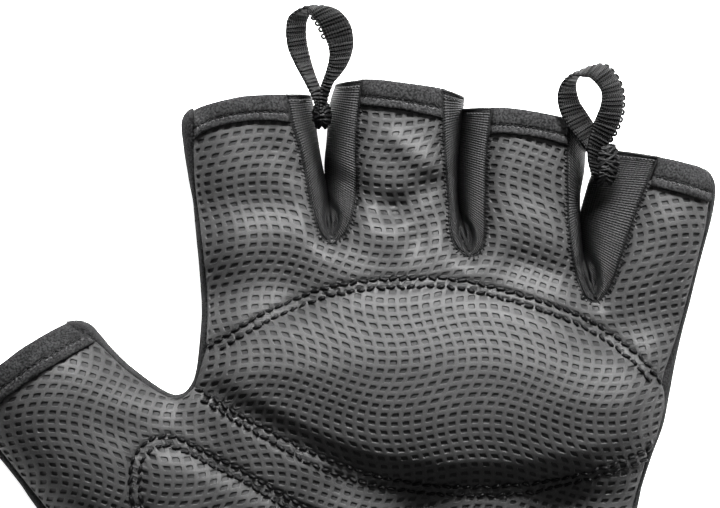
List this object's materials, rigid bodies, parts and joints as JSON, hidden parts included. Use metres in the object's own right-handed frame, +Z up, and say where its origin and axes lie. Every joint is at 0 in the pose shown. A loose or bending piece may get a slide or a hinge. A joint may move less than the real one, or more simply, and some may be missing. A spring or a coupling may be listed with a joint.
{
  "type": "weightlifting glove",
  "caption": "Fingerless left-hand training glove with a padded grip-leather palm, stretch finger gussets, webbing pull loops and a strapped cuff, lying palm up.",
  "frame": {"origin": "on the flat back that the glove lies on, under the middle of the palm pad", "axes": "+X from the thumb to the little finger, +Y towards the fingertips, +Z up out of the palm"},
  "size_m": [0.1595, 0.1823, 0.0321],
  "materials": {
    "grip_leather": "embossed wavy grip",
    "brushed_felt": "brushed",
    "stretch_knit": "ribbed, slightly shiny",
    "webbing": "ribbed",
    "back_fabric": "soft"
  },
  "bodies": {
    "root": {"palm_panel": "grip_leather", "heel_panel": "grip_leather", "palm_pad": "grip_leather", "heel_pad": "grip_leather", "index_hem": "brushed_felt", "middle_hem": "brushed_felt", "ring_hem": "brushed_felt", "little_hem": "brushed_felt", "thumb_hem": "brushed_felt", "index_middle_gusset": "stretch_knit", "middle_ring_gusset": "stretch_knit", "ring_little_gusset": "stretch_knit", "back_panel": "back_fabric", "wrist_cuff": "back_fabric", "wrist_strap": "webbing", "index_middle_pull_loop": "webbing", "ring_little_pull_loop": "webbing"}
  },
  "joints": []
}
